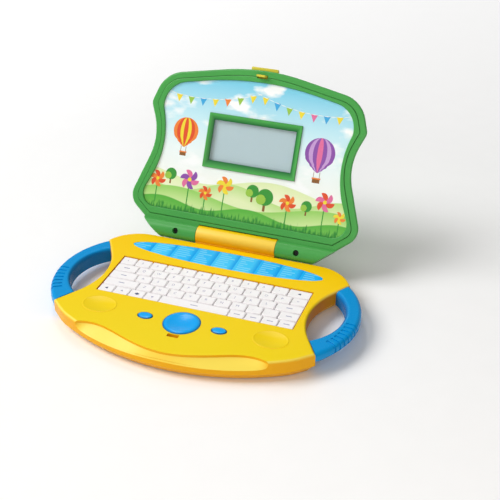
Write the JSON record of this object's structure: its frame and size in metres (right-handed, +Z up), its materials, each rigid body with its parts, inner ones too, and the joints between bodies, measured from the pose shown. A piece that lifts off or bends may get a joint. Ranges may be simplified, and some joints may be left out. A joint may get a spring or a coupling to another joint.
{
  "type": "toy laptop computer",
  "caption": "Child's toy laptop standing open: rounded base with carrying handles, sprung keys, cursor pad and buttons, and a hinged lid with a printed panel and a small display.",
  "frame": {"origin": "on the table, under the middle of the object's overall box with the lid open", "axes": "+X to the user's right along the keyboard, +Y away from the user towards the hinge, +Z up"},
  "size_m": [0.306, 0.288, 0.1819],
  "materials": {
    "yellow_plastic": "moulded plastic, soft gloss",
    "blue_plastic": "moulded plastic, soft gloss",
    "green_plastic": "moulded plastic, soft gloss",
    "white_key": "fine satin",
    "grey_plastic": "satin",
    "printed_strip": "printed and varnished",
    "printed_sheet": "printed and varnished",
    "clear_window": "clear, polished",
    "display_glass": "grey liquid-crystal panel",
    "circuit_board": "green laminate",
    "rubber_sheet": "silicone, matt",
    "rubber_foot": "matt",
    "speaker_metal": "black, satin",
    "cell_jacket": "plain wrapped jacket",
    "steel": "zinc plated"
  },
  "bodies": {
    "base": {"base_top_cover": "yellow_plastic", "base_bottom_cover": "yellow_plastic", "handle_right_upper": "blue_plastic", "handle_right_lower": "blue_plastic", "handle_left_upper": "blue_plastic", "handle_left_lower": "blue_plastic", "info_strip": "printed_strip", "key_guide_plate": "grey_plastic", "key_mat": "rubber_sheet", "key_board": "circuit_board", "button_board": "circuit_board", "button_mat": "rubber_sheet", "loudspeaker": "speaker_metal", "battery_door": "yellow_plastic", "battery_cells": "cell_jacket", "battery_contacts": "steel", "base_screws": "steel", "rubber_feet": "rubber_foot", "hinge_barrel": "yellow_plastic", "hinge_pins": "steel"},
    "lid": {"lid_rear_cover": "green_plastic", "lid_front_frame": "green_plastic", "picture_panel": "printed_sheet", "screen_bezel": "green_plastic", "screen_window": "clear_window", "display_panel": "display_glass", "display_board": "circuit_board", "knuckle_screws": "steel"},
    "latch": {"lid_latch": "yellow_plastic"},
    "keys_row_1": {"keys_row_1": "white_key"},
    "keys_row_2": {"keys_row_2": "white_key"},
    "keys_row_3": {"keys_row_3": "white_key"},
    "keys_row_4": {"keys_row_4": "white_key"},
    "keys_row_5": {"keys_row_5": "white_key"},
    "space_bar": {"space_bar": "white_key"},
    "cursor_pad": {"cursor_pad": "blue_plastic"},
    "button_right": {"button_right": "blue_plastic"},
    "button_left": {"button_left": "blue_plastic"}
  },
  "joints": [
    {"name": "lid_hinge", "type": "hinge", "parent": "base", "child": "lid", "pos_m": [0, 0.05376, 0.02634], "axis": [1, 0, 0], "range_deg": [0, 117.5]},
    {"name": "latch_slide", "type": "slide", "parent": "lid", "child": "latch", "axis": [0, 0.4617, 0.887], "range_m": [-0.0012, 0], "stiffness_N_per_m": 200, "springref_m": 0.0004},
    {"name": "keys_row_1_press", "type": "slide", "parent": "base", "child": "keys_row_1", "axis": [0, 0, 1], "range_m": [-0.0015, 0], "stiffness_N_per_m": 400, "springref_m": 0.0006},
    {"name": "keys_row_2_press", "type": "slide", "parent": "base", "child": "keys_row_2", "axis": [0, 0, 1], "range_m": [-0.0015, 0], "stiffness_N_per_m": 400, "springref_m": 0.0006},
    {"name": "keys_row_3_press", "type": "slide", "parent": "base", "child": "keys_row_3", "axis": [0, 0, 1], "range_m": [-0.0015, 0], "stiffness_N_per_m": 400, "springref_m": 0.0006},
    {"name": "keys_row_4_press", "type": "slide", "parent": "base", "child": "keys_row_4", "axis": [0, 0, 1], "range_m": [-0.0015, 0], "stiffness_N_per_m": 400, "springref_m": 0.0006},
    {"name": "keys_row_5_press", "type": "slide", "parent": "base", "child": "keys_row_5", "axis": [0, 0, 1], "range_m": [-0.0015, 0], "stiffness_N_per_m": 400, "springref_m": 0.0006},
    {"name": "space_bar_press", "type": "slide", "parent": "base", "child": "space_bar", "axis": [0, 0, 1], "range_m": [-0.0015, 0], "stiffness_N_per_m": 300, "springref_m": 0.0005},
    {"name": "cursor_pad_press", "type": "slide", "parent": "base", "child": "cursor_pad", "axis": [0, 0, 1], "range_m": [-0.0012, 0], "stiffness_N_per_m": 300, "springref_m": 0.0005},
    {"name": "button_right_press", "type": "slide", "parent": "base", "child": "button_right", "axis": [0, 0, 1], "range_m": [-0.0012, 0], "stiffness_N_per_m": 150, "springref_m": 0.0004},
    {"name": "button_left_press", "type": "slide", "parent": "base", "child": "button_left", "axis": [0, 0, 1], "range_m": [-0.0012, 0], "stiffness_N_per_m": 150, "springref_m": 0.0004}
  ]
}
